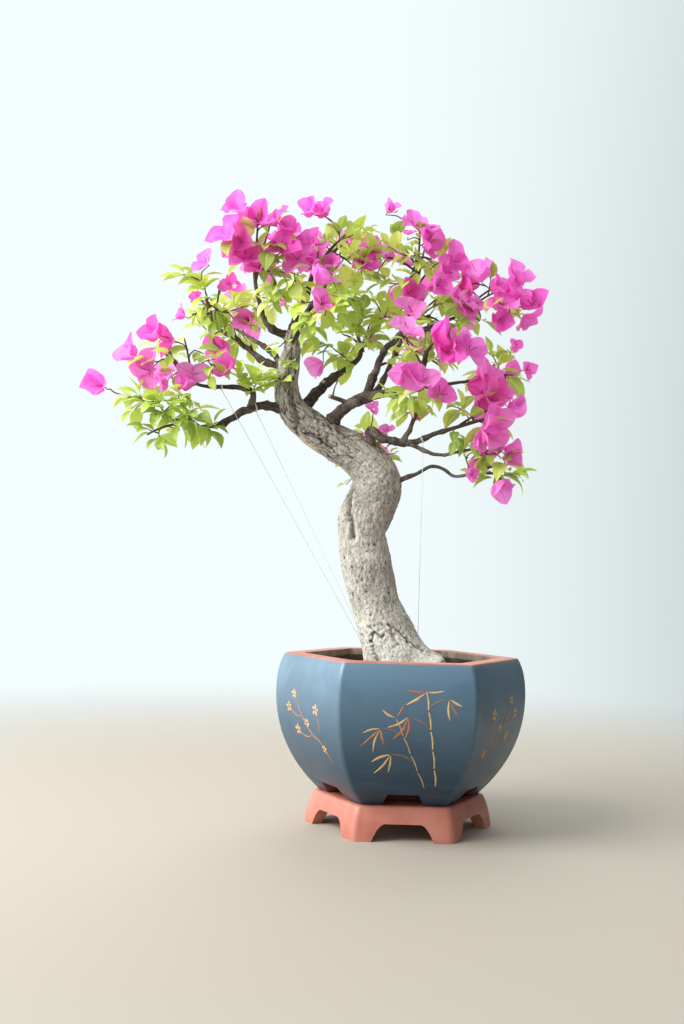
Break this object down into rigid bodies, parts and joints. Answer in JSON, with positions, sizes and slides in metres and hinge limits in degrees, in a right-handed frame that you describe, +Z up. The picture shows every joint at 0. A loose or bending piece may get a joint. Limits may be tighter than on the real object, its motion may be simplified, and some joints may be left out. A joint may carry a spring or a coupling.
{
  "type": "bougainvillea bonsai in a pot",
  "caption": "Flowering bougainvillea trained as a bonsai: bent tapering trunk, spreading boughs with leaves and papery bracts, in a hexagonal clay pot on a footed stand.",
  "frame": {"origin": "on the ground, under the middle of the whole plant's box; the pot's axis stands at x 0.1085, y -0.0230", "axes": "+Z up, +X to the right and +Y away from the viewer as the plant's best side is seen"},
  "size_m": [0.5492, 0.3292, 0.7773],
  "materials": {
    "stand_clay": "unglazed red clay, smooth",
    "pot_slip": "slate blue matt slip over red clay, with a bare clay rim",
    "soil": "moist granular potting soil",
    "trunk_bark": "grey fissured bark, paler at the foot",
    "bough_bark": "dark grey-brown bark",
    "leaf": "satin yellow-green leaf",
    "bract": "papery magenta bract",
    "wire": "bright thin wire"
  },
  "bodies": {
    "root": {"stand": "stand_clay", "pot": "pot_slip", "soil": "soil", "trunk": "trunk_bark", "bough_left_low": "bough_bark", "bough_left_rise": "bough_bark", "bough_left_mid": "bough_bark", "bough_apex_left": "bough_bark", "bough_apex_right": "bough_bark", "bough_centre": "bough_bark", "bough_shoulder": "bough_bark", "bough_riser": "bough_bark", "bough_far_right": "bough_bark", "bough_right_low": "bough_bark", "bough_right_rise": "bough_bark", "bough_right_droop": "bough_bark", "bough_low_right": "bough_bark", "bough_right_outer": "bough_bark", "bough_back_left": "bough_bark", "bough_back_top": "bough_bark", "bough_back_right": "bough_bark", "bough_back_low": "bough_bark", "bough_front_top": "bough_bark", "leaves_left_low": "leaf", "blossom_left": "bract", "leaves_left_mid": "leaf", "blossom_top_left": "bract", "leaves_top_centre": "leaf", "leaves_front": "leaf", "leaves_centre": "leaf", "blossom_top_right": "bract", "blossom_right_upper": "bract", "blossom_right_mid": "bract", "blossom_right_outer": "bract", "blossom_right_low": "bract", "leaves_right_droop": "leaf", "leaves_low_right": "leaf", "leaves_centre_low": "leaf", "leaves_back_left": "leaf", "blossom_back_top": "bract", "blossom_back_right": "bract", "leaves_back_low": "leaf", "guy_wire_left": "wire", "guy_wire_inner": "wire", "guy_wire_right": "wire"}
  },
  "joints": []
}
